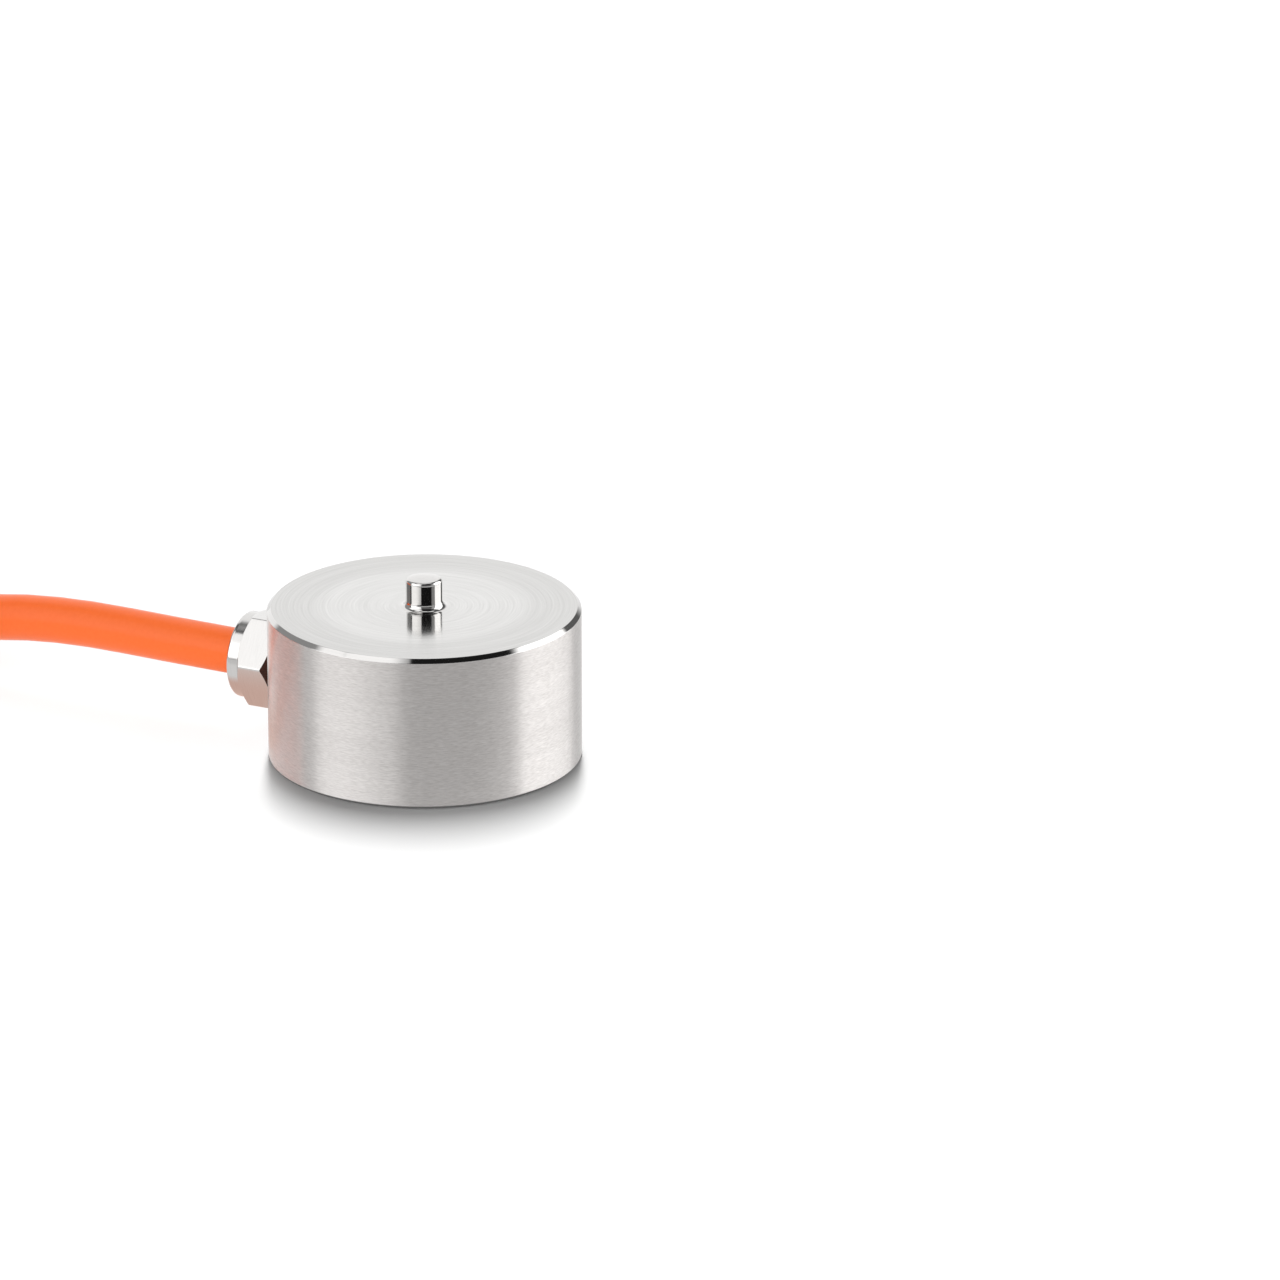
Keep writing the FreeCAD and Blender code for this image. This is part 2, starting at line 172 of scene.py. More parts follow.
def turned(name, outline, steps, materials=(), finish_at=None):
    """Solid turned about the Z axis from a closed outline of (radius, height) points."""
    angles = np.linspace(0, 2 * math.pi, steps, endpoint=False)
    rings = []
    for radius, height in outline:
        around = angles if radius > tiny else angles[:1]
        rings.append([(radius * math.cos(a), radius * math.sin(a), height) for a in around])
    finish = None
    if finish_at:
        finish = [finish_at((here[0] + there[0]) / 2, (here[1] + there[1]) / 2)
                  for here, there in zip(outline, outline[1:] + outline[:1])]
    return skin(name, rings, materials, finish, closed=True)


def lay_along_gland(piece):
    """Turns a piece modelled along +Z from the load axis to lie along -X at the height of the gland."""
    rise = Matrix.Translation((0, 0, gland_height * MM))
    piece.data.transform(rise @ Matrix.Rotation(-math.pi / 2, 4, "Y"))


def smooth_but_edges(piece, edge_deg=24):
    """Smooth shading with edges sharper than an angle kept crisp."""
    piece.data.polygons.foreach_set("use_smooth", [True] * len(piece.data.polygons))
    piece.data.set_sharp_from_angle(angle=math.radians(edge_deg))


def evaluated_mesh(piece):
    """Makes a piece a plain mesh with its modifiers applied."""
    mesh = bpy.data.meshes.new_from_object(piece.evaluated_get(bpy.context.evaluated_depsgraph_get()))
    piece.modifiers.clear()
    spent = piece.data
    piece.data = mesh
    bpy.data.meshes.remove(spent)


def stands_for(piece, slot, *nodes):
    """Piece rides on the one body and stands for CAD nodes, which are hidden. The slot argument is not used.
    """
    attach(piece, "root")
    if nodes:
        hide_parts(*nodes)


def add(tree, kind, inputs=None, **settings):
    """Shader or geometry node with its settings and inputs, each a plain value or another node's socket."""
    made = tree.nodes.new(kind)
    for key, value in settings.items():
        setattr(made, key, value)
    for key, value in (inputs or {}).items():
        if isinstance(value, bpy.types.NodeSocket):
            tree.links.new(value, made.inputs[key])
        else:
            made.inputs[key].default_value = value
    return made


def calc(tree, operation, *values):
    """Value worked out by one math node."""
    return add(tree, "ShaderNodeMath", dict(enumerate(values)), operation=operation).outputs[0]


def spread(tree, value, low, high):
    """Value from 0 to 1 spread between two others."""
    return add(tree, "ShaderNodeMapRange", {"Value": value, "To Min": low, "To Max": high}).outputs["Result"]


def tone(tree, value, low, high):
    """Colour between two others by a value from 0 to 1."""
    made = add(tree, "ShaderNodeMix", {"Factor": value}, data_type="RGBA")
    colours = [socket for socket in made.inputs if socket.type == "RGBA"]
    colours[0].default_value = (*low, 1)
    colours[1].default_value = (*high, 1)
    return [socket for socket in made.outputs if socket.type == "RGBA"][0]


def new_material(name, inputs):
    """Material with constants set on its shader's own sockets."""
    material = bpy.data.materials.new(name)
    material.use_nodes = True
    shader = material.node_tree.nodes["Principled BSDF"]
    for key, value in inputs.items():
        shader.inputs[key].default_value = (*value, 1) if isinstance(value, tuple) else value
    return material, material.node_tree, shader


def whereabouts(tree):
    """Place on a piece: its vector, its parts, and the part square to the load axis with its length."""
    place = add(tree, "ShaderNodeTexCoord").outputs["Object"]
    split = add(tree, "ShaderNodeSeparateXYZ", {"Vector": place}).outputs
    flat = add(tree, "ShaderNodeCombineXYZ", {"X": split["X"], "Y": split["Y"]}).outputs[0]
    radius = add(tree, "ShaderNodeVectorMath", {0: flat}, operation="LENGTH").outputs["Value"]
    return {"place": place, "X": split["X"], "Y": split["Y"], "Z": split["Z"], "flat": flat, "radius": radius}


def raise_surface(tree, shader, height, relief):
    """Bump by a height from 0 to 1, of a depth in millimetres."""
    bump = add(tree, "ShaderNodeBump", {"Height": height, "Strength": 1.0, "Distance": relief * MM})
    tree.links.new(bump.outputs[0], shader.inputs["Normal"])


def turned_steel(name, dark, light, roughness, line, reach, band, relief, anisotropy, inside=0.0):
    """Turned steel: lines of a width and a length round the load axis, in bands of a width, in millimetres.
    A share of its tone may go to a lighter zone towards the load axis."""
    material, tree, shader = new_material(name, {
        "Metallic": 1.0, "Anisotropic": anisotropy, "Anisotropic Rotation": 0.25})
    spot = whereabouts(tree)
    heading = add(tree, "ShaderNodeVectorMath", {0: spot["flat"]}, operation="NORMALIZE").outputs["Vector"]
    across = calc(tree, "SUBTRACT", spot["Z"], spot["radius"])
    patterns = []
    for width, length in ((line, reach), (band, 2 * body_radius)):
        rise = add(tree, "ShaderNodeCombineXYZ", {"Z": calc(tree, "DIVIDE", across, width * MM)}).outputs[0]
        around = add(tree, "ShaderNodeVectorMath", {0: heading, "Scale": body_radius / length},
                     operation="SCALE").outputs[0]
        drawn = add(tree, "ShaderNodeVectorMath", {0: rise, 1: around}, operation="ADD").outputs[0]
        patterns.append(add(tree, "ShaderNodeTexNoise", {
            "Vector": drawn, "Scale": 1.0, "Detail": 2.0, "Roughness": 0.6}).outputs[0])
    blend = calc(tree, "ADD", calc(tree, "MULTIPLY", patterns[0], line_share),
                 calc(tree, "MULTIPLY", patterns[1], 1 - line_share))
    lines = add(tree, "ShaderNodeMapRange", {
        "Value": blend, "From Min": line_contrast[0], "From Max": line_contrast[1]}).outputs["Result"]
    raise_surface(tree, shader, lines, relief)
    inner_lift = add(tree, "ShaderNodeMapRange", {
        "Value": spot["radius"], "From Min": lighter_inside_ends * MM, "From Max": lighter_inside_starts * MM,
        "To Max": inside}).outputs["Result"]
    shade = calc(tree, "ADD", calc(tree, "MULTIPLY", lines, 1 - inside), inner_lift)
    tree.links.new(tone(tree, shade, dark, light), shader.inputs["Base Color"])
    gloss = spread(tree, patterns[1], roughness * (1 - line_gloss), roughness * (1 + line_gloss))
    tree.links.new(gloss, shader.inputs["Roughness"])
    tangent = add(tree, "ShaderNodeTangent", direction_type="RADIAL", axis="Z")
    tree.links.new(tangent.outputs[0], shader.inputs["Tangent"])
    return material


wall_steel = turned_steel(
    "wall_steel", dark=(0.575, 0.55, 0.535), light=(0.765, 0.74, 0.725), roughness=0.38,
    line=0.06, reach=0.45, band=0.6, relief=0.0001, anisotropy=1.0)
faced_steel = turned_steel(
    "faced_steel", dark=(0.48, 0.475, 0.465), light=(0.625, 0.62, 0.61), roughness=0.12,
    line=0.12, reach=8.0, band=0.7, relief=0.0002, anisotropy=0.8, inside=0.45)
polished_steel = turned_steel(
    "polished_steel", dark=(0.58, 0.57, 0.56), light=(0.62, 0.61, 0.60), roughness=0.06,
    line=0.1, reach=8.0, band=0.6, relief=0.00002, anisotropy=0.5)
bored_steel = turned_steel(
    "bored_steel", dark=(0.42, 0.41, 0.40), light=(0.52, 0.51, 0.50), roughness=0.4,
    line=0.12, reach=8.0, band=0.6, relief=0.001, anisotropy=0.6)
body_finishes = [wall_steel, faced_steel, polished_steel, bored_steel]
WALL, FACE, POLISH, BORE = range(4)


def body_finish(radius, height):
    """Finish of the body where its outline passes a radius and a height."""
    if radius > body_radius - tiny:
        return WALL
    if height < tiny or abs(height - body_top) < tiny:
        return FACE
    return BORE if height < diaphragm_under + tiny and radius < cover_seat_radius + tiny else POLISH


def button_outline():
    """Load button from its root on the top face up to the axis: root fillet, wall, edge round and dome."""
    dome_centre = button_top - button_dome_radius
    round_centre = button_radius - button_edge_round
    reach = button_dome_radius - button_edge_round
    round_height = dome_centre + math.sqrt(reach ** 2 - round_centre ** 2)
    lean = math.degrees(math.atan2(round_height - dome_centre, round_centre))
    root = button_radius + button_root_fillet
    return (arc((root, body_top + button_root_fillet), button_root_fillet, 270, 180, 12)
            + [(button_radius, body_top + button_root_fillet + edge_ease),
               (button_radius, round_height - edge_ease)]
            + arc((round_centre, round_height), button_edge_round, 0, lean, 10)
            + arc((0, dome_centre), button_dome_radius, lean, 90, 16)[1:-1] + [(0, button_top)])


wall_line = run((body_radius, base_chamfer), (body_radius, body_top - top_chamfer), 30)
outside = rounded(
    [(cover_seat_radius, 0), (body_radius - base_chamfer, 0)] + wall_line
    + [(body_radius - top_chamfer, body_top), (button_radius + button_root_fillet, body_top)],
    [edge_ease] * (len(wall_line) + 2))
fillet_height = diaphragm_under - chamber_fillet
hollow = (
    [(0, boss_under), (boss_radius, boss_under)]
    + arc((boss_radius + chamber_fillet, fillet_height), chamber_fillet, 180, 90, 8)
    + arc((chamber_radius - chamber_fillet, fillet_height), chamber_fillet, 90, 0, 8)
    + [(chamber_radius, board_seat), (wiring_radius, board_seat), (wiring_radius, cover_seat),
       (cover_seat_radius, cover_seat)])
cell_body = turned("turned_body", outside[:-1] + button_outline() + hollow, body_steps,
                   body_finishes, body_finish)

cut_start = wiring_radius - cutter_reach_in
cut_end = body_radius + cutter_reach_out
gland_hole = turned("gland_hole", [
    (0, cut_start), (cable_hole_radius, cut_start), (cable_hole_radius, bush_seat),
    (gland_thread_hole_radius, bush_seat), (gland_thread_hole_radius, gland_seat),
    (gland_seat_radius, gland_seat), (gland_seat_radius, cut_end), (0, cut_end)],
    gland_hole_steps, body_finishes, lambda radius, height: FACE)
lay_along_gland(gland_hole)


def tapped_hole(name):
    """Countersunk, tapped hole as a cutter from the base upwards, its radius on the thread's helix."""
    steps = 48
    rows = int(fixing_depth / fixing_thread_pitch * fixing_rows_a_pitch)
    below = 0.2
    angles = np.linspace(0, 2 * math.pi, steps, endpoint=False)
    mouth = fixing_mouth_radius + below
    rings = [[(0, 0, -below)], [(mouth * math.cos(a), mouth * math.sin(a), -below) for a in angles]]
    for height in np.linspace(0, fixing_depth, rows + 1):
        fade = min(1.0, (fixing_depth - height) / fixing_thread_pitch)
        ring = []
        for angle in angles:
            phase = (height / fixing_thread_pitch - angle / (2 * math.pi)) % 1.0
            thread = fixing_drill_radius + fixing_thread_depth * (1 - abs(2 * phase - 1)) * fade
            radius = max(thread, fixing_mouth_radius - height)
            ring.append((radius * math.cos(angle), radius * math.sin(angle), height))
        rings.append(ring)
    rings.append([(0, 0, fixing_depth + fixing_drill_radius * fixing_point_share)])
    return skin(name, rings, body_finishes, [BORE] * len(rings))


def ring_of(name, piece, material, count, radius, start_deg):
    """Copies of a piece round the load axis as one plain mesh, by geometry nodes. The piece is used up."""
    tree = bpy.data.node_groups.new(name, "GeometryNodeTree")
    given = {}
    for label, kind in (("Piece", "Object"), ("Count", "Int"), ("Radius", "Float"), ("Start", "Float")):
        socket = tree.interface.new_socket(label, in_out="INPUT", socket_type="NodeSocket" + kind)
        given[label] = socket.identifier
    tree.interface.new_socket("Geometry", in_out="OUTPUT", socket_type="NodeSocketGeometry")
    source = add(tree, "NodeGroupInput").outputs
    circle = add(tree, "GeometryNodeMeshCircle", {"Vertices": source["Count"], "Radius": source["Radius"]})
    one = add(tree, "GeometryNodeObjectInfo", {"Object": source["Piece"]})
    turn = calc(tree, "DIVIDE", 2 * math.pi, source["Count"])
    angle = calc(tree, "MULTIPLY", add(tree, "GeometryNodeInputIndex").outputs[0], turn)
    copies = add(tree, "GeometryNodeInstanceOnPoints", {
        "Points": circle.outputs[0], "Instance": one.outputs["Geometry"],
        "Rotation": add(tree, "ShaderNodeCombineXYZ", {"Z": angle}).outputs[0]})
    first = add(tree, "ShaderNodeCombineXYZ", {"Z": source["Start"]}).outputs[0]
    aimed = add(tree, "GeometryNodeTransform", {"Geometry": copies.outputs[0], "Rotation": first})
    real = add(tree, "GeometryNodeRealizeInstances", {0: aimed.outputs[0]})
    painted = add(tree, "GeometryNodeSetMaterial", {"Geometry": real.outputs[0], "Material": material})
    tree.links.new(painted.outputs[0], add(tree, "NodeGroupOutput").inputs[0])
    made = link(name, bpy.data.meshes.new(name))
    copying = made.modifiers.new("copies", "NODES")
    copying.node_group = tree
    copying[given["Piece"]] = piece
    copying[given["Count"]] = count
    copying[given["Radius"]] = radius * MM
    copying[given["Start"]] = math.radians(start_deg)
    evaluated_mesh(made)
    bpy.data.objects.remove(piece)
    return made


fixing_holes = ring_of("fixing_holes", tapped_hole("fixing_hole"), bored_steel,
                       fixing_count, fixing_circle_radius, fixing_first_deg)
cutters = (gland_hole, fixing_holes)
for cutter in cutters:
    cut = cell_body.modifiers.new(cutter.name, "BOOLEAN")
    cut.operation = "DIFFERENCE"
    cut.solver = "EXACT"
    cut.material_mode = "TRANSFER"
    cut.object = cutter
evaluated_mesh(cell_body)
for cutter in cutters:
    bpy.data.objects.remove(cutter)
smooth_but_edges(cell_body)
stands_for(cell_body, "stainless_steel", "cell_body")

# Strain gauges: four foil gauges on amber polyimide film, bonded to the underside of the diaphragm.
# On each, one line of constantan foil is etched to and fro in a grid between two solder tabs.
gauge_mid_radius = 3.7
gauge_count = 4
gauge_first_deg = 45.0
gauge_film_under = 8.74
foil_thickness = 0.012
strand_count = 10
strand_width = 0.06
strand_pitch = 0.12
strand_start = -0.5
strand_end = 1.0
tab_start = -1.15
tab_end = -0.75
tab_middle = 0.375
tab_width = 0.45
grain_gloss = 0.15


def grained(name, dark, light, roughness, grain, relief, inputs=None):
    """Even fine grain, of a size in millimetres, in the colour, gloss and surface of a piece."""
    material, tree, shader = new_material(name, inputs or {})
    place = add(tree, "ShaderNodeTexCoord").outputs["Object"]
    noise = add(tree, "ShaderNodeTexNoise", {
        "Vector": place, "Scale": 1 / (grain * MM), "Detail": 3.0}).outputs[0]
    tree.links.new(tone(tree, noise, dark, light), shader.inputs["Base Color"])
    gloss = spread(tree, noise, roughness * (1 - grain_gloss), roughness * (1 + grain_gloss))
    tree.links.new(gloss, shader.inputs["Roughness"])
    raise_surface(tree, shader, noise, relief)
    return material


def finish_nodes(material, *names):
    """Gives a material to CAD nodes that keep their own shape."""
    for name in names:
        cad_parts[name].material_slots[0].material = material


def foil_line(name, path, width, material):
    """Flat line of foil along a path with square corners, its top at height 0."""
    half = width / 2
    sides = []
    for here, there in zip(path, path[1:]):
        way = (Vector(there) - Vector(here)).normalized()
        sides.append(Vector((-way.y, way.x)) * half)
    rings = []
    for point, before, after in zip(path, sides[:1] + sides, sides + sides[-1:]):
        mitre = before if before == after else before + after
        left = Vector(point) + mitre
        right = Vector(point) - mitre
        rings.append([(left.x, left.y, 0), (right.x, right.y, 0), (right.x, right.y, -foil_thickness),
                      (left.x, left.y, -foil_thickness)])
    return skin(name, rings, [material], capped=True)


def join(name, pieces):
    """One object from several meshes."""
    work = bmesh.new()
    for piece in pieces:
        work.from_mesh(piece.data)
    mesh = bpy.data.meshes.new(name)
    work.to_mesh(mesh)
    work.free()
    for material in pieces[0].data.materials:
        mesh.materials.append(material)
    for piece in pieces:
        bpy.data.objects.remove(piece)
    return link(name, mesh)


def gauge_foil(material):
    """Grid and two tabs of one gauge, with its length along X and its middle at the origin."""
    edge = strand_pitch * (strand_count - 1) / 2
    grid = []
    for strand in range(strand_count):
        across = strand * strand_pitch - edge
        near = tab_end if strand in (0, strand_count - 1) else strand_start
        ends = [(near, across), (strand_end, across)]
        grid += ends if strand % 2 == 0 else ends[::-1]
    pieces = [foil_line("foil_grid", grid, strand_width, material)]
    for side in (-tab_middle, tab_middle):
        pieces.append(foil_line("foil_tab", [(tab_start, side), (tab_end, side)], tab_width, material))
    return join("gauge_foil", pieces)


gauge_film = grained(
    "gauge_film", dark=(0.60, 0.28, 0.05), light=(0.76, 0.42, 0.09), roughness=0.3, grain=0.4, relief=0.0005)
foil_metal = grained(
    "foil_metal", dark=(0.55, 0.40, 0.27), light=(0.66, 0.50, 0.35), roughness=0.32, grain=0.08,
    relief=0.0003, inputs={"Metallic": 1.0})
finish_nodes(gauge_film, "strain_gauge_1", "strain_gauge_2", "strain_gauge_3", "strain_gauge_4")
gauge_foils = ring_of("gauge_foils", gauge_foil(foil_metal), foil_metal,
                      gauge_count, gauge_mid_radius, gauge_first_deg)
gauge_foils.data.transform(Matrix.Translation((0, 0, gauge_film_under * MM)))
stands_for(gauge_foils, "gauge_film")

# Terminal board and trim resistors: a ring of glass laminate under green solder mask, with round copper
# tracks, clamped on a ledge of the body. Three ceramic chips with tinned ends are soldered under it.
track_pitch = 0.62
track_height = 0.02
track_edge = (0.2, 0.45)
track_share = 0.8
weave_pitch = 0.2
chip_half_length = 0.5
chip_cap_length = 0.22
chip_pitch_deg = 24.0
chips = ("zero_trim_resistor", "span_trim_resistor", "thermal_trim_resistor")


def smooth_step(tree, value, start, end):
    """Smooth step of a value from 0 at a start to 1 at an end."""
    return add(tree, "ShaderNodeMapRange", {"Value": value, "From Min": start, "From Max": end},
               interpolation_type="SMOOTHSTEP").outputs["Result"]


def board_mask():
    """Solder mask, proud and lighter over the tracks, with the weave of the glass cloth under it."""
    material, tree, shader = new_material("board_mask", {"Roughness": 0.34, "Coat Weight": 0.2})
    spot = whereabouts(tree)
    wave = calc(tree, "SINE", calc(tree, "MULTIPLY", spot["radius"], 2 * math.pi / (track_pitch * MM)))
    track = smooth_step(tree, wave, *track_edge)
    weave = add(tree, "ShaderNodeTexChecker", {
        "Vector": spot["place"], "Scale": 1 / (weave_pitch * MM)}).outputs["Fac"]
    shade = calc(tree, "ADD", calc(tree, "MULTIPLY", track, track_share),
                 calc(tree, "MULTIPLY", weave, 1 - track_share))
    tree.links.new(tone(tree, shade, (0.012, 0.13, 0.05), (0.045, 0.29, 0.12)), shader.inputs["Base Color"])
    raise_surface(tree, shader, track, track_height)
    return material


def chip_finish(name, turn_deg):
    """Dark glazed ceramic with tinned ends, on a chip that lies across a turned radius."""
    material, tree, shader = new_material(name, {"Roughness": 0.3})
    place = add(tree, "ShaderNodeTexCoord").outputs["Object"]
    turned_back = add(tree, "ShaderNodeMapping", {
        "Vector": place, "Rotation": (0, 0, -math.radians(turn_deg))}).outputs[0]
    length = calc(tree, "ABSOLUTE", add(tree, "ShaderNodeSeparateXYZ", {"Vector": turned_back}).outputs["Y"])
    cap = calc(tree, "GREATER_THAN", length, (chip_half_length - chip_cap_length) * MM)
    tree.links.new(tone(tree, cap, (0.02, 0.02, 0.022), (0.72, 0.72, 0.70)), shader.inputs["Base Color"])
    tree.links.new(cap, shader.inputs["Metallic"])
    return material


finish_nodes(board_mask(), "terminal_board")
for position, chip in enumerate(chips):
    finish_nodes(chip_finish(chip + "_finish", (position - 1) * chip_pitch_deg), chip)

# Gauge wires and joints: two flat enamelled copper wires from each gauge, looped through the board's hole,
# and the cones of tin solder that join them and the cable's cores to its pads.
enamelled_copper = grained(
    "enamelled_copper", dark=(0.60, 0.24, 0.08), light=(0.74, 0.36, 0.14), roughness=0.25, grain=0.1,
    relief=0.0003, inputs={"Metallic": 1.0, "Coat Weight": 0.6})
tin_solder = grained(
    "tin_solder", dark=(0.64, 0.64, 0.62), light=(0.78, 0.78, 0.76), roughness=0.24, grain=0.15,
    relief=0.002, inputs={"Metallic": 1.0})
finish_nodes(enamelled_copper, "gauge_wires")
finish_nodes(tin_solder, "solder_joints")

# Gland bush and thrust washer: a moulded rubber bush that grips the cable against a shoulder in the wall,
# and the brass washer between it and the end of the gland.
bush_rubber = grained(
    "bush_rubber", dark=(0.016, 0.016, 0.017), light=(0.034, 0.034, 0.036), roughness=0.75, grain=0.12,
    relief=0.004)
plain_brass = grained(
    "plain_brass", dark=(0.62, 0.45, 0.18), light=(0.76, 0.58, 0.28), roughness=0.26, grain=0.2,
    relief=0.0008, inputs={"Metallic": 1.0})
finish_nodes(bush_rubber, "gland_bush")
finish_nodes(plain_brass, "thrust_washer")

# Cable gland: hex with chamfered ends, a polished round collar in front and a threaded shank behind.
# Turned from hex brass bar, nickel-plated, and screwed into the wall up to its spot face. Its end face and
# chamfer by the wall are painted dark brown, as painted shade for the shadowed gap between the hex and the
# wall.
gland_flat_radius = 2.9
gland_corner_sharpness = 110
gland_turn_deg = 35.8
gland_bevel_deg = 36.0
gland_bevel_inset = 0.03
gland_bevel_radius = gland_flat_radius - gland_bevel_inset
gland_hex_end = 12.05
gland_end = -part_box("cable_gland")[0].x / MM
gland_collar_radius = 2.78
gland_collar_round = 0.14
gland_edge = 0.008
gland_shank_radius = 2.25
gland_tip = -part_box("cable_gland")[1].x / MM
gland_thread_pitch = 0.5
gland_thread_depth = 0.2
gland_thread_rows = 40
# Rows at the wall end of the gland's outline that take the painted shade of the gap.
gland_gap_shaded_rows = 9
gland_bore_radius = 1.55
gland_bore_flare = 0.12
nickel_line = 0.05
nickel_patch = 1.0
nickel_relief = 0.0002
corner_half_deg = (0.0, 0.4, 0.8, 1.3, 2.0, 3.2, 5.0, 8.0, 12.0, 18.0, 24.0, 30.0)


def gland_section(angle):
    """Wall of the gland at an angle about its axis, as a closed outline of (radius, distance)."""
    flats = [math.cos(angle - math.radians(gland_turn_deg + 30 + 60 * flat)) for flat in range(6)]
    blunt = sum(max(share, 0.0) ** gland_corner_sharpness for share in flats) ** (1 / gland_corner_sharpness)
    hex_radius = gland_flat_radius / blunt
    bevel = (hex_radius - gland_bevel_radius) * math.tan(math.radians(gland_bevel_deg))
    shank = []
    for distance in np.linspace(gland_tip, gland_seat - gland_thread_pitch / 2, gland_thread_rows):
        phase = (distance / gland_thread_pitch - angle / (2 * math.pi)) % 1.0
        lead = gland_shank_radius - gland_thread_depth + (distance - gland_tip)
        shank.append((min(gland_shank_radius - gland_thread_depth * abs(2 * phase - 1), lead), distance))
    core = gland_shank_radius - gland_thread_depth
    head = rounded([
        (core, gland_seat), (gland_bevel_radius, gland_seat), (hex_radius, gland_seat + bevel),
        (hex_radius, gland_hex_end - bevel), (gland_bevel_radius, gland_hex_end),
        (gland_collar_radius, gland_hex_end), (gland_collar_radius, gland_end),
        (gland_bore_radius + gland_bore_flare, gland_end),
        (gland_bore_radius, gland_end - gland_bore_flare), (gland_bore_radius, gland_tip),
    ], [gland_edge] * 5 + [gland_collar_round] + [gland_edge] * 2)
    return shank + head


def nickel():
    """Nickel plate with faint lines from turning round the gland's axis."""
    material, tree, shader = new_material("nickel_plate", {"Metallic": 1.0})
    place = add(tree, "ShaderNodeTexCoord").outputs["Object"]
    scale = (1 / (nickel_line * MM), 1 / (nickel_patch * MM), 1 / (nickel_patch * MM))
    stretched = add(tree, "ShaderNodeVectorMath", {0: place, 1: scale}, operation="MULTIPLY").outputs[0]
    lines = add(tree, "ShaderNodeTexNoise", {"Vector": stretched, "Scale": 1.0, "Detail": 2.0}).outputs[0]
    tree.links.new(tone(tree, lines, (0.55, 0.54, 0.53), (0.62, 0.61, 0.60)), shader.inputs["Base Color"])
    tree.links.new(spread(tree, lines, 0.10, 0.16), shader.inputs["Roughness"])
    raise_surface(tree, shader, lines, nickel_relief)
    return material


# Painted shade: dark brown on the hex's end face and chamfer by the wall, standing in for the shadowed gap
# there.
painted_gap_shade = grained(
    "gland_gap_painted_shade", dark=(0.012, 0.004, 0.002), light=(0.10, 0.036, 0.025), roughness=0.5, grain=0.3,
    relief=0.004, inputs={"Specular IOR Level": 0.2})
PLATED, GAP_SHADED = range(2)
gap_shaded_rows = range(gland_thread_rows, gland_thread_rows + gland_gap_shaded_rows)
gland_angles = []
for corner in range(6):
    offsets = [-half for half in corner_half_deg[:0:-1]] + list(corner_half_deg[:-1])
    gland_angles += [math.radians(gland_turn_deg + 60 * corner + offset) for offset in offsets]
sections = [gland_section(angle) for angle in gland_angles]
gland_rows = range(len(sections[0]))
gland_rings = [[(points[row][0] * math.cos(angle), points[row][0] * math.sin(angle), points[row][1])
                for angle, points in zip(gland_angles, sections)] for row in gland_rows]
gland_finish = [GAP_SHADED if row in gap_shaded_rows else PLATED for row in gland_rows]
cable_gland = skin("hex_gland", gland_rings, [nickel(), painted_gap_shade], gland_finish, closed=True)
lay_along_gland(cable_gland)
smooth_but_edges(cable_gland)
stands_for(cable_gland, "nickel_plate", "cable_gland")

# Signal cable: round cable with a satin orange jacket, drawn straight out of the gland and down to the bench.
# The spare length is wound into a neat coil of three columns of turns, its end laid on top of them.
cable_radius = 1.5
cable_route = [
    (-5.4, 0.0, gland_height),
    (-16.0, 0.0, gland_height),
    (-27.2, 0.0, 4.95),
    (-35.0, 0.1, 3.5),
    (-42.2, 0.7, 1.55),
    (-48.6, 3.0, 1.55),
]
coil_columns = 3
coil_layers = 5
coil_lead_in = 11.0
coil_outer_turn = 18.0
coil_points_a_turn = 24
coil_cross_share = 0.42
tail_radius = 13.5
tail_height = 16.1
tail_end_deg = 48.0
tail_points = 6
coil_pitch = 2 * cable_radius
coil_inner_turn = coil_outer_turn - (coil_columns - 1) * coil_pitch
coil_top_turn = cable_radius + (coil_layers - 1) * coil_pitch
coil_heading = (Vector(cable_route[-1]) - Vector(cable_route[-2])).normalized()
coil_start = math.atan2(-coil_heading.x, coil_heading.y)
coil_joins = Vector(cable_route[-1]) + coil_heading * coil_lead_in
coil_centre = coil_joins - coil_outer_turn * Vector((math.cos(coil_start), math.sin(coil_start), 0))


def on_coil(radius, angle, height):
    """Point at a radius and an angle past the start of the coil's turns."""
    turn = coil_start + angle
    return (coil_centre.x + radius * math.cos(turn), coil_centre.y + radius * math.sin(turn), height)


def eased(share):
    """Smooth step from 0 to 1."""
    share = min(max(share, 0.0), 1.0)
    return share * share * (3 - 2 * share)


def coil_turns():
    """Turns of the coil: up the outer column, down the middle one, up the inner one and onto the top.
    Each turn keeps its place for part of its round, then crosses over, first in height and then in radius."""
    places = []
    for column in range(coil_columns):
        heights = [cable_radius + layer * coil_pitch for layer in range(coil_layers)]
        if column % 2:
            heights.reverse()
        places += [(coil_outer_turn - column * coil_pitch, height) for height in heights]
    places.append((tail_radius, tail_height))
    points = []
    for (radius, height), (next_radius, next_height) in zip(places, places[1:]):
        for step in range(coil_points_a_turn):
            share = step / coil_points_a_turn
            crossing = (share - 1 + coil_cross_share) / coil_cross_share
            lift = eased(crossing * 2)
            shift = eased(crossing * 2 - 1)
            points.append(on_coil(radius + (next_radius - radius) * shift, 2 * math.pi * share,
                                  height + (next_height - height) * lift))
    for angle in np.linspace(0, math.radians(tail_end_deg), tail_points):
        points.append(on_coil(tail_radius, angle, tail_height))
    return points


def cord_curve(name, points, radius, material):
    """Round cord of a radius along a smooth line with the given control points, in millimetres."""
    curve = bpy.data.curves.new(name, "CURVE")
    curve.dimensions = "3D"
    curve.bevel_depth = radius * MM
    curve.bevel_resolution = 10
    curve.resolution_u = 4
    curve.use_fill_caps = True
    spline = curve.splines.new("NURBS")
    spline.points.add(len(points) - 1)
    for control, point in zip(spline.points, points):
        control.co = (*(Vector(point) * MM), 1)
    spline.order_u = 3
    spline.use_endpoint_u = True
    curve.materials.append(material)
    return link(name, curve)


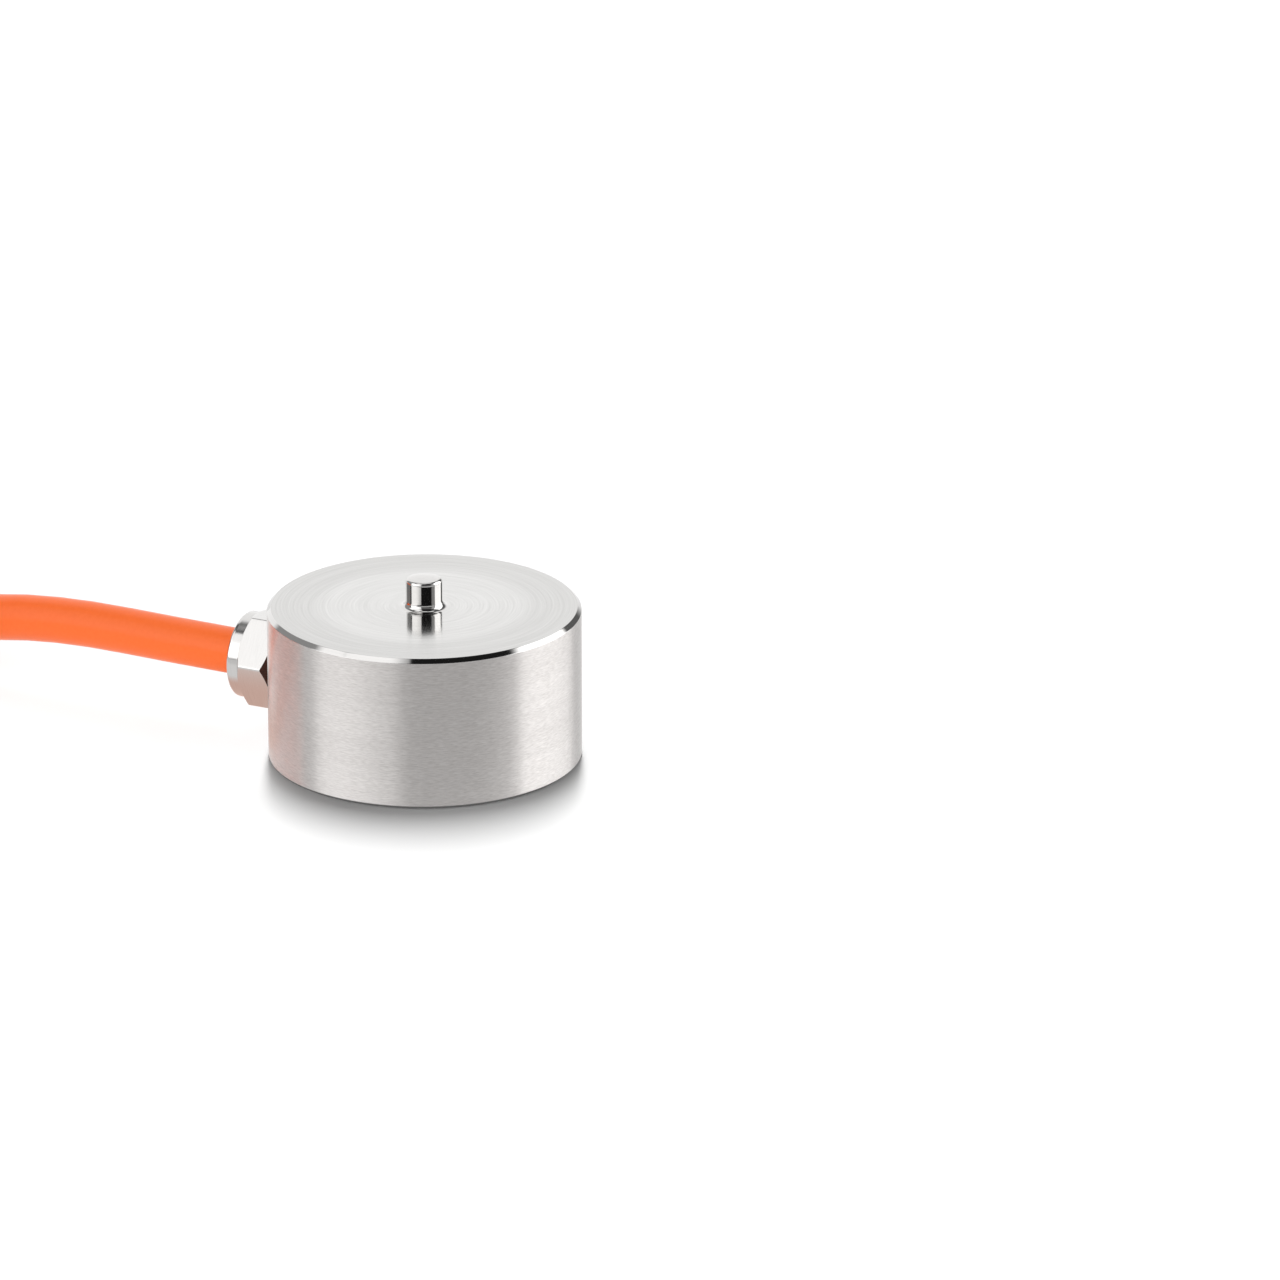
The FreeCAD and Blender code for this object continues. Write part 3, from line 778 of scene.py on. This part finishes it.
orange_jacket = grained(
    "orange_jacket", dark=(0.86, 0.138, 0.021), light=(0.91, 0.162, 0.030), roughness=0.34, grain=0.25,
    relief=0.003, inputs={"Specular IOR Level": 0.25})
signal_cord = cord_curve("signal_cord", cable_route + coil_turns(), cable_radius, orange_jacket)
stands_for(signal_cord, "orange_jacket", "signal_cable", "cable_coil")

# Cores: the four insulated wires of the cable, bared inside the body and led round to the board.
# Extruded in white, green, black and red.
insulation_tones = {
    "white": ((0.78, 0.78, 0.76), (0.86, 0.86, 0.84)),
    "green": ((0.035, 0.30, 0.09), (0.055, 0.38, 0.13)),
    "black": ((0.014, 0.014, 0.015), (0.026, 0.026, 0.028)),
    "red": ((0.54, 0.022, 0.022), (0.66, 0.035, 0.032)),
}
insulation = {}
for colour, (dark, light) in insulation_tones.items():
    insulation[colour] = grained("insulation_" + colour, dark, light, roughness=0.3, grain=0.2,
                                 relief=0.002, inputs={"Specular IOR Level": 0.5})
    finish_nodes(insulation[colour], "core_" + colour)

# Base cover: turned steel disc that closes the hollow from below, set into its counterbore and bonded there.
# Faced on both sides, its lower edge broken.
cover_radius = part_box("base_cover")[1].x / MM
cover_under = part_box("base_cover")[0].z / MM
cover_chamfer = 0.12
cover_steps = 256
base_cover = turned("cover_disc", rounded([
    (0, cover_under), (cover_radius - cover_chamfer, cover_under),
    (cover_radius, cover_under + cover_chamfer), (cover_radius, cover_seat), (0, cover_seat)],
    [edge_ease] * 3), cover_steps, [faced_steel])
smooth_but_edges(base_cover)
stands_for(base_cover, "stainless_steel", "base_cover")

# End sleeve: black heat-shrink tube over the end of the jacket, necked down onto the four leads beyond it.
# Cut from extruded tube and shrunk on with hot air, which rounds its ends a little.
sleeve_radius = 1.75
sleeve_neck_radius = 1.16
sleeve_start_deg = 36.0
sleeve_end_deg = 70.0
sleeve_steps = 40
sleeve_lip = 0.08
sleeve_lip_deg = 0.3
neck_before_end_deg = 1.0
neck_sweep_deg = 9.0
neck_rings = 13


def sleeve_ring(angle_deg, radius):
    """Ring of the sleeve about the line of the tail."""
    angles = np.linspace(0, 2 * math.pi, sleeve_steps, endpoint=False) if radius else [0.0]
    return [on_coil(tail_radius + radius * math.sin(a), math.radians(angle_deg),
                    tail_height + radius * math.cos(a)) for a in angles]


sleeve_line = [(tail_end_deg, 0), (tail_end_deg, cable_radius), (sleeve_start_deg, cable_radius),
               (sleeve_start_deg, sleeve_radius - sleeve_lip),
               (sleeve_start_deg + sleeve_lip_deg, sleeve_radius)]
for share in np.linspace(0, 1, neck_rings):
    sleeve_line.append((tail_end_deg - neck_before_end_deg + neck_sweep_deg * share,
                        sleeve_radius + (sleeve_neck_radius - sleeve_radius) * eased(share)))
sleeve_line += [(sleeve_end_deg - sleeve_lip_deg, sleeve_neck_radius),
                (sleeve_end_deg, sleeve_neck_radius - sleeve_lip), (sleeve_end_deg, 0)]
shrink_sleeve = grained(
    "shrink_sleeve", dark=(0.014, 0.014, 0.015), light=(0.030, 0.030, 0.032), roughness=0.5, grain=0.3,
    relief=0.006)
end_sleeve = skin("shrunk_sleeve", [sleeve_ring(*place) for place in sleeve_line], [shrink_sleeve])
smooth_but_edges(end_sleeve, 40)
stands_for(end_sleeve, "shrink_sleeve", "end_sleeve")

# Flying leads: the four cores beyond the sleeve, laid along the top turns of the coil.
# Their ends are stripped, and the twisted strands are tinned.
lead_radius = 0.325
lead_pair_width = 0.8
lead_straight = 1.2
lead_fan_width = 3.6
lead_sweep_deg = 115.0
lead_landing_share = 0.4
lead_bends = 4
lead_layout = {"white": (-1, 1), "green": (-1, -1), "black": (1, -1), "red": (1, 1)}
tip_length = 5.0
tip_radius = 0.18
tip_strands = 6
tip_twists = 2.0
tip_points_a_strand = 6
tip_lobe = 0.1
tip_rings = 40
tip_round_share = 0.05


def lead_points(order, side, level):
    """Bends of one lead, from the sleeve's end down onto the turns and along them."""
    start_radius = tail_radius + side * lead_pair_width / 2
    start_height = tail_height + level * lead_pair_width / 2
    end_radius = tail_radius + (order / (len(lead_layout) - 1) - 0.5) * lead_fan_width
    end_height = coil_top_turn + cable_radius + lead_radius
    start = math.radians(sleeve_end_deg)
    first = Vector(on_coil(start_radius, start, start_height))
    ahead = Vector((-math.sin(coil_start + start), math.cos(coil_start + start), 0))
    points = [first, first + ahead * lead_straight]
    for bend in range(1, lead_bends + 1):
        share = bend / lead_bends
        landed = min(share / lead_landing_share, 1.0)
        points.append(Vector(on_coil(start_radius + (end_radius - start_radius) * landed,
                                     start + math.radians(lead_sweep_deg) * share,
                                     start_height + (end_height - start_height) * landed)))
    return points


def strand_tip(name, start, heading):
    """Tinned end of a lead: strands twisted together, with a rounded end of solder."""
    side = Vector((-heading.y, heading.x, 0)).normalized()
    rise = heading.cross(side)
    rings = [[start]]
    for share in np.linspace(0, 1, tip_rings, endpoint=False):
        rounding = max(share - 1 + tip_round_share, 0.0) / tip_round_share
        taper = math.sqrt(1 - rounding ** 2)
        twist = 2 * math.pi * tip_twists * share
        ring = []
        for angle in np.linspace(0, 2 * math.pi, tip_strands * tip_points_a_strand, endpoint=False):
            lobe = 1 - tip_lobe + tip_lobe * math.cos(tip_strands * (angle - twist))
            offset = (side * math.cos(angle) + rise * math.sin(angle)) * tip_radius * lobe * taper
            ring.append(start + heading * tip_length * share + offset)
        rings.append(ring)
    rings.append([start + heading * tip_length])
    return skin(name, rings, [tin_solder])


tips = []
for order, (colour, (side, level)) in enumerate(lead_layout.items()):
    points = lead_points(order, side, level)
    lead = cord_curve("flying_lead_" + colour, points, lead_radius, insulation[colour])
    stands_for(lead, "insulation_" + colour, "lead_" + colour)
    tips.append(strand_tip("tip", points[-1], (points[-1] - points[-2]).normalized()))
lead_tips = join("tinned_tips", tips)
smooth_but_edges(lead_tips, 50)
stands_for(lead_tips, "tin_solder", "lead_tips")

# Coil tie: flat plastic-covered wire, pulled tight round the turns and the tail on them.
# Its two ends are twisted together and laid along the top turns.
tie_at = math.radians(20.0)
tie_width = 4.0
tie_thickness = 0.12
tie_rib = 0.13
tie_rib_width = 0.45
tie_floor_gap = 0.26
tie_columns = (-0.5, -0.2, -0.1, -0.04, 0.0, 0.04, 0.1, 0.2, 0.5)
twist_length = 9.0
twist_turns = 2.5
twist_radius = 16.5
twist_height = 15.75
twist_spread = 0.36
twist_half_width = 0.5
twist_half_thickness = 0.22
twist_tuck = 0.5
twist_rings = 61
twist_sides = 16
tie_corner_rings = 13
tie_ahead = Vector((-math.sin(coil_start + tie_at), math.cos(coil_start + tie_at), 0))


def on_tie(radius, height, along):
    """Point at a radius and a height in the tie's plane, moved along the turns."""
    return Vector(on_coil(radius, tie_at, height)) + tie_ahead * along


def tie_loop(material):
    """Band stretched round the outermost turns and the tail, with a rib over its wire."""
    bottom = cable_radius + tie_floor_gap
    centres = [(coil_inner_turn, bottom), (coil_outer_turn, bottom), (coil_outer_turn, coil_top_turn),
               (tail_radius, tail_height), (coil_inner_turn, coil_top_turn)]
    edges = [Vector(there) - Vector(here) for here, there in zip(centres, centres[1:] + centres[:1])]
    facing = [math.atan2(-edge.x, edge.y) for edge in edges]
    rings = []
    for place, before, after in zip(centres, facing[-1:] + facing[:-1], facing):
        turn = (after - before) % (2 * math.pi)
        for share in np.linspace(0, 1, tie_corner_rings):
            out = Vector((math.cos(before + turn * share), math.sin(before + turn * share)))
            ring = []
            for column in tie_columns:
                rib = tie_rib * math.exp(-(column * tie_width / tie_rib_width) ** 2)
                ring.append((column, cable_radius + tie_thickness + rib))
            ring += [(column, cable_radius) for column in reversed(tie_columns)]
            rings.append([on_tie(place[0] + out.x * reach, place[1] + out.y * reach, column * tie_width)
                          for column, reach in ring])
    return skin("tie_loop", rings, [material], closed=True)


def tie_end(name, phase, material):
    """One of the two ends, wound round the other in a flat twist."""
    rings = []
    for share in np.linspace(0, 1, twist_rings):
        angle = phase + 2 * math.pi * twist_turns * share
        out = Vector((math.cos(angle), math.sin(angle)))
        flat = Vector((-out.y, out.x))
        ring = []
        for around in np.linspace(0, 2 * math.pi, twist_sides, endpoint=False):
            across = (out * (twist_spread + twist_half_thickness * math.cos(around))
                      + flat * twist_half_width * math.sin(around))
            ring.append(on_tie(twist_radius + across.x, twist_height + across.y,
                               tie_width / 2 - twist_tuck + twist_length * share))
        rings.append(ring)
    return skin(name, rings, [material], capped=True)


tie_plastic = grained(
    "tie_plastic", dark=(0.018, 0.018, 0.020), light=(0.040, 0.040, 0.044), roughness=0.34, grain=0.2,
    relief=0.003)
coil_tie = join("twisted_tie", [tie_loop(tie_plastic), tie_end("tie_end_1", 0.0, tie_plastic),
                                tie_end("tie_end_2", math.pi, tie_plastic)])
smooth_but_edges(coil_tie, 40)
stands_for(coil_tie, "tie_plastic", "coil_tie")

# Stage: a white sheet before a white backdrop, among softboxes and dark cards that the metal mirrors: a tall
# box at the left, a low one at the right, a ceiling, and a dark card round the camera with its long lens.
# Two lamps light the matt pieces, and a strip behind throws the soft shadow in front of the cell.
camera_azimuth = math.radians(26.14675)
camera_elevation = math.radians(20.1349)
camera_distance = 608.2325
camera_right = 13.6964
camera_up = 7.2108
camera_lens = 268.0
camera_sensor = 36.0
camera_near = 0.01
right = Vector((math.cos(camera_azimuth), math.sin(camera_azimuth), 0))
towards_camera = Vector((math.sin(camera_azimuth), -math.cos(camera_azimuth), 0))
back = towards_camera * math.cos(camera_elevation) + Vector((0, 0, math.sin(camera_elevation)))
up = back.cross(right)
camera = link("camera", bpy.data.cameras.new("camera"))
camera.data.sensor_width = camera_sensor
camera.data.lens = camera_lens
camera.data.clip_start = camera_near
camera_place = (right * camera_right + up * camera_up + back * camera_distance) * MM
camera.matrix_world = Matrix.Translation(camera_place) @ Matrix((right, up, back)).transposed().to_4x4()
bpy.context.scene.camera = camera

# Lengths on the floor in millimetres, each pair from where a shade is nothing to where it is whole.
floor_size = 6000.0
floor_white = 0.35
coil_shadow_reach = 14.0
coil_shadow_depth = 0.45
coil_shadow_samples = 16
coil_shadow_edge = (28.0, 42.0)
# Painted shadow: the floor as the metal mirrors it falls to this level at the cell's foot.
mirrored_contact_shadow = 0.15
mirrored_contact_shadow_edge = (9.8, 10.4)
# Painted shade: the floor as the metal mirrors it is dimmer in front of the cell, towards the camera.
mirrored_front_shade = 0.85
mirrored_front_shade_edge = (8.0, 16.0)
# Painted reflected light: orange bounce from the cable tints the floor as the metal mirrors it, beside the
# cable under the gland.
painted_bounce_tint = (0.90, 0.62, 0.53)
painted_bounce_side = (7.0, 3.5)
painted_bounce_near_end = (-9.5, -12.0)
painted_bounce_far_end = (-22.0, -15.0)
half_floor = floor_size / 2 * MM
floor_corners = [(x * half_floor, y * half_floor, 0) for x, y in ((-1, -1), (1, -1), (1, 1), (-1, 1))]
floor_mesh = bpy.data.meshes.new("floor")
floor_mesh.from_pydata(floor_corners, [], [(0, 1, 2, 3)])
floor = link("floor", floor_mesh)
floor_material = bpy.data.materials.new("floor_sheet")
floor_material.use_nodes = True
floor_material.cycles.emission_sampling = "NONE"
sheet = floor_material.node_tree
sheet.nodes.clear()


def lies(length, edge):
    """Smooth step of a length on the floor between two others in millimetres."""
    return smooth_step(sheet, length, edge[0] * MM, edge[1] * MM)


spot = whereabouts(sheet)
# Where the painted orange bounce from the cable lies on the mirrored floor.
painted_bounce_along = calc(sheet, "MULTIPLY", lies(spot["X"], painted_bounce_near_end), lies(spot["X"], painted_bounce_far_end))
painted_bounce_mask = calc(sheet, "MULTIPLY", lies(calc(sheet, "ABSOLUTE", spot["Y"]), painted_bounce_side), painted_bounce_along)
forward = calc(sheet, "ADD", calc(sheet, "MULTIPLY", spot["X"], towards_camera.x),
               calc(sheet, "MULTIPLY", spot["Y"], towards_camera.y))
# Painted shade of the mirrored floor in front of the cell.
mirrored_front_shaded = spread(sheet, lies(forward, mirrored_front_shade_edge), 1.0, mirrored_front_shade)
open_sky = add(sheet, "ShaderNodeAmbientOcclusion", {"Distance": coil_shadow_reach * MM},
               samples=coil_shadow_samples).outputs["AO"]
by_coil = calc(sheet, "MULTIPLY", lies(spot["radius"], coil_shadow_edge), coil_shadow_depth)
shaded_white = calc(sheet, "MULTIPLY", calc(sheet, "POWER", open_sky, by_coil), floor_white)
paper = add(sheet, "ShaderNodeBsdfDiffuse", {"Color": shaded_white}).outputs[0]
# The floor as the metal mirrors it: white, with a painted shadow at the cell's foot, painted shade in front
# of the cell and a painted orange bounce from the cable.
paper_mirrored = add(sheet, "ShaderNodeEmission", {
    "Color": tone(sheet, painted_bounce_mask, (1, 1, 1), painted_bounce_tint),
    "Strength": spread(sheet, lies(spot["radius"], mirrored_contact_shadow_edge), mirrored_contact_shadow, mirrored_front_shaded)}).outputs[0]
ray = add(sheet, "ShaderNodeLightPath").outputs
mirrored = calc(sheet, "MAXIMUM", ray["Is Glossy Ray"], ray["Is Transmission Ray"])
whole = add(sheet, "ShaderNodeMixShader", {0: mirrored, 1: paper, 2: paper_mirrored}).outputs[0]
sheet.links.new(whole, add(sheet, "ShaderNodeOutputMaterial").inputs["Surface"])
floor.data.materials.append(floor_material)

# Levels of the lights that the metal mirrors, and their edges from dark to lit, in degrees round from the
# camera or the backdrop's middle, or up from the floor. A span or band has two ends and their softness.
card_dark = 0.015
front_half = (96, 84)
front_low = 0.5
front_low_top = (17.2, 15.4)
front_high = 0.2
front_high_band = (28, 44, 3)
rear_half = (88, 100)
gap_dark = 0.15
ceiling_light = 1.0
ceiling_edge = (58, 70)
ceiling_front_edge = (79, 84)
left_gap = 0.38
left_gap_span = (-150, -94, 6)
left_gap_top = (54, 47)
left_span = (-84.5, -18, 3)
left_top = (77, 71)
left_foot = (-2, 4)
left_foot_rise = (14.0, 1.5)
left_foot_turn = (-24, -58)
left_low_levels = (1.6, 2.25)
left_low_turn = (-14, -58)
left_high_levels = (0.45, 1.5)
left_high_turn = (-12, -45)
left_middle = (28, 46)
left_wing_span = (-103, -70, 5)
left_wing_band = (32, 56, 4)
right_spill = 0.5
right_spill_span = (50, 90, 7)
right_spill_top = (52, 44)
right_light = 2.6
right_span = (73, 132, 3)
right_top = (52, 46)
backdrop_light = 1.26
backdrop_left = (-47, -38)
backdrop_right = (34, 12)
backdrop_top = (64, 50)
world = bpy.data.worlds.new("studio")
bpy.context.scene.world = world
world.use_nodes = True
sky = world.node_tree
sky.nodes.clear()


def step_up(angle, edge):
    """Smooth step of a sky angle from 0 at the start of an edge to 1 at its end."""
    return smooth_step(sky, angle, *edge)


def window(angle, start, end, soft):
    """1 between two sky angles, falling to 0 outside them over a soft edge."""
    return calc(sky, "MULTIPLY", step_up(angle, (start - soft, start + soft)),
                step_up(angle, (end + soft, end - soft)))


def lit(level, *masks):
    """Light of a level where all masks meet."""
    for mask in masks:
        level = calc(sky, "MULTIPLY", level, mask)
    return level


def along(direction):
    """How far a ray into the sky goes along a direction."""
    return add(sky, "ShaderNodeVectorMath", {0: aim, 1: direction}, operation="DOT_PRODUCT").outputs["Value"]


aim = add(sky, "ShaderNodeTexCoord").outputs["Generated"]
front = along(towards_camera)
side = along(right)
azimuth = calc(sky, "DEGREES", calc(sky, "ARCTAN2", side, front))
lift = calc(sky, "DEGREES", calc(sky, "ARCSINE", along(Vector((0, 0, 1)))))
off_front = calc(sky, "ABSOLUTE", azimuth)
off_back = calc(sky, "DEGREES", calc(sky, "ARCTAN2", side, calc(sky, "MULTIPLY", front, -1.0)))
left_low = spread(sky, step_up(azimuth, left_low_turn), *left_low_levels)
left_high = spread(sky, step_up(azimuth, left_high_turn), *left_high_levels)
left_light = spread(sky, step_up(lift, left_middle), left_low, left_high)
above_left_foot = calc(sky, "SUBTRACT", lift, spread(sky, step_up(azimuth, left_foot_turn), *left_foot_rise))
light_path = add(sky, "ShaderNodeLightPath").outputs
first_mirrored = calc(sky, "COMPARE", light_path["Glossy Depth"], 1.0, 0.5)
lights = [
    lit(front_low, first_mirrored, step_up(off_front, front_half), step_up(lift, front_low_top)),
    lit(front_high, first_mirrored, step_up(off_front, front_half), window(lift, *front_high_band)),
    lit(gap_dark, step_up(off_front, rear_half)),
    lit(ceiling_light, first_mirrored, step_up(off_front, rear_half), step_up(lift, ceiling_edge)),
    lit(ceiling_light, first_mirrored, step_up(lift, ceiling_front_edge)),
    lit(left_gap, window(azimuth, *left_gap_span), step_up(lift, left_gap_top)),
    lit(left_light, window(azimuth, *left_span), step_up(above_left_foot, left_foot),
        step_up(lift, left_top)),
    lit(left_light, window(azimuth, *left_wing_span), window(lift, *left_wing_band)),
    lit(right_spill, window(azimuth, *right_spill_span), step_up(lift, right_spill_top)),
    lit(right_light, window(azimuth, *right_span), step_up(lift, right_top)),
    lit(backdrop_light, step_up(off_back, backdrop_left), step_up(off_back, backdrop_right),
        step_up(lift, backdrop_top)),
]
studio = card_dark
for light in lights:
    studio = calc(sky, "MAXIMUM", studio, light)
seen = light_path["Is Camera Ray"]
strength = calc(sky, "MAXIMUM", seen, calc(sky, "MULTIPLY", studio, calc(sky, "SUBTRACT", 1.0, seen)))
backdrop = add(sky, "ShaderNodeBackground", {"Color": (1, 1, 1, 1), "Strength": strength}).outputs[0]
sky.links.new(backdrop, add(sky, "ShaderNodeOutputWorld").inputs["Surface"])

# Lamps for the matt pieces by azimuth from the camera, height and spread in degrees, and power.
lamps = {"rear_lamp": (180.0, 55.0, 50.0, 0.7), "fill_lamp": (-20.0, 28.0, 70.0, 0.9)}
strip_azimuth = 180.0
strip_lift = 68.0
strip_distance = 2.0
strip_width = 0.16
strip_length = 1.3
strip_power = 95.0


def towards_lamp(lamp_azimuth, lamp_lift):
    """Direction from the cell to a lamp at an azimuth from the camera and a height, both in degrees."""
    turn = camera_azimuth + math.radians(lamp_azimuth)
    rise = math.radians(lamp_lift)
    return Vector((math.sin(turn) * math.cos(rise), -math.cos(turn) * math.cos(rise), math.sin(rise)))


for name, (lamp_azimuth, lamp_lift, lamp_spread, lamp_power) in lamps.items():
    lamp = link(name, bpy.data.lights.new(name, "SUN"))
    lamp.data.energy = lamp_power
    lamp.data.angle = math.radians(lamp_spread)
    lamp.visible_glossy = False
    lamp.rotation_euler = towards_lamp(lamp_azimuth, lamp_lift).to_track_quat("Z", "Y").to_euler()
strip = link("floor_strip", bpy.data.lights.new("floor_strip", "AREA"))
strip.data.shape = "RECTANGLE"
strip.data.size = strip_width
strip.data.size_y = strip_length
strip.data.energy = strip_power
strip.location = towards_lamp(strip_azimuth, strip_lift) * strip_distance
strip.rotation_euler = strip.location.to_track_quat("Z", "Y").to_euler()
for role, piece in (("receiver", floor), ("blocker", cell_body)):
    linked = bpy.data.collections.new("floor_strip_" + role)
    linked.objects.link(piece)
    setattr(strip.light_linking, role + "_collection", linked)
bpy.context.scene.view_settings.view_transform = "Standard"
